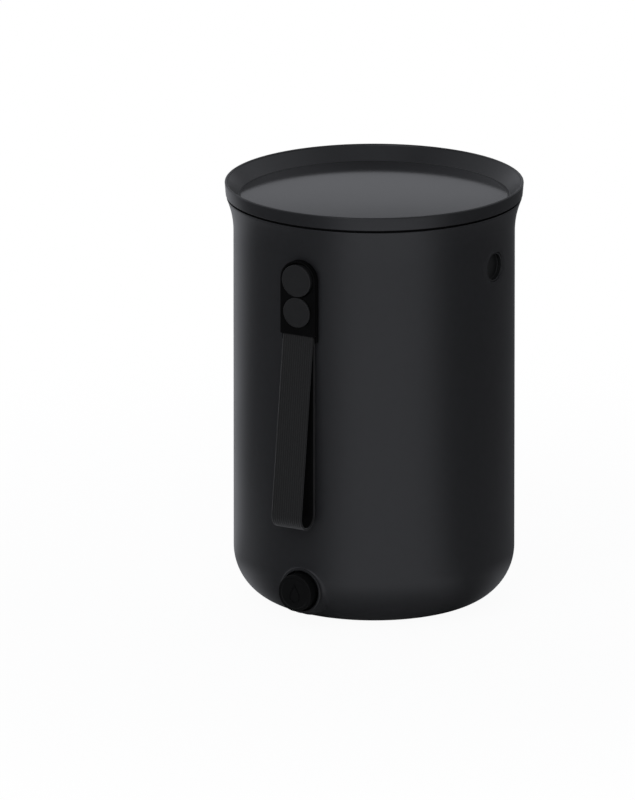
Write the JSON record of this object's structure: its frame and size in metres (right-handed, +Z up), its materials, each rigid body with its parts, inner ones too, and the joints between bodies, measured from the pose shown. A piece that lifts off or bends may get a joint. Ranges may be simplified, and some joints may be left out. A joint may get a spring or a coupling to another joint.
{
  "type": "bokashi bin",
  "caption": "Round lidded kitchen bin for fermenting food waste, with a slotted strainer, a turning drain tap at its foot and a webbing carrying strap that buttons over the lid.",
  "frame": {"origin": "middle of the base's flat underside, on the bin's axis", "axes": "+Z up along the bin's axis, -Y towards the strap and the tap, +X towards the side socket"},
  "size_m": [0.24, 0.2562, 0.3454],
  "materials": {
    "anthracite_shell": "satin anthracite moulding",
    "anthracite_lid": "anthracite moulding, polished dish",
    "seal": "matt silicone",
    "black_fitting": "fine matt moulding",
    "tap_knob": "satin black moulding",
    "tap_rubber": "matt rubber",
    "charcoal_stud": "satin charcoal moulding",
    "strap_plate": "satin black moulding",
    "webbing": "flat woven webbing",
    "strainer": "plain moulding"
  },
  "bodies": {
    "bin": {"bin_body": "anthracite_shell", "front_socket_cup": "black_fitting", "right_socket_cup": "black_fitting", "rear_socket_cup": "black_fitting", "tap_body": "black_fitting", "tap_gasket": "tap_rubber", "tap_washer": "tap_rubber", "tap_nut": "black_fitting", "tap_front_o_ring": "tap_rubber", "tap_rear_o_ring": "tap_rubber", "anchor_stud": "charcoal_stud", "anchor_plug": "black_fitting"},
    "lid_unit": {"lid": "anthracite_lid", "lid_seal": "seal"},
    "strainer": {"strainer_plate": "strainer", "strainer_front_leg": "strainer", "strainer_right_leg": "strainer", "strainer_rear_leg": "strainer", "strainer_left_leg": "strainer"},
    "knob": {"tap_knob": "tap_knob"},
    "strap": {"anchor_plate": "strap_plate", "strap_inner_run": "webbing", "strap_bend": "webbing"},
    "strap_free_end": {"free_end_plate": "strap_plate", "free_stud": "charcoal_stud", "free_plug": "black_fitting", "strap_outer_run": "webbing"}
  },
  "joints": [
    {"name": "lid_lift", "type": "slide", "parent": "bin", "child": "lid_unit", "axis": [0, 0, 1], "range_m": [0, 0.15]},
    {"name": "strainer_lift", "type": "slide", "parent": "bin", "child": "strainer", "axis": [0, 0, 1], "range_m": [0, 0.25]},
    {"name": "tap_turn", "type": "hinge", "parent": "bin", "child": "knob", "pos_m": [0, -0.1185, 0.031], "axis": [0, -1, 0], "range_deg": [0, 90]},
    {"name": "strap_swing", "type": "hinge", "parent": "bin", "child": "strap", "pos_m": [0, -0.113, 0.2892], "axis": [0, -1, 0], "range_deg": [-90, 90]},
    {"name": "strap_open", "type": "hinge", "parent": "strap", "child": "strap_free_end", "pos_m": [0, -0.13621, 0.09838], "axis": [1, 0, 0], "range_deg": [0, 75]}
  ]
}
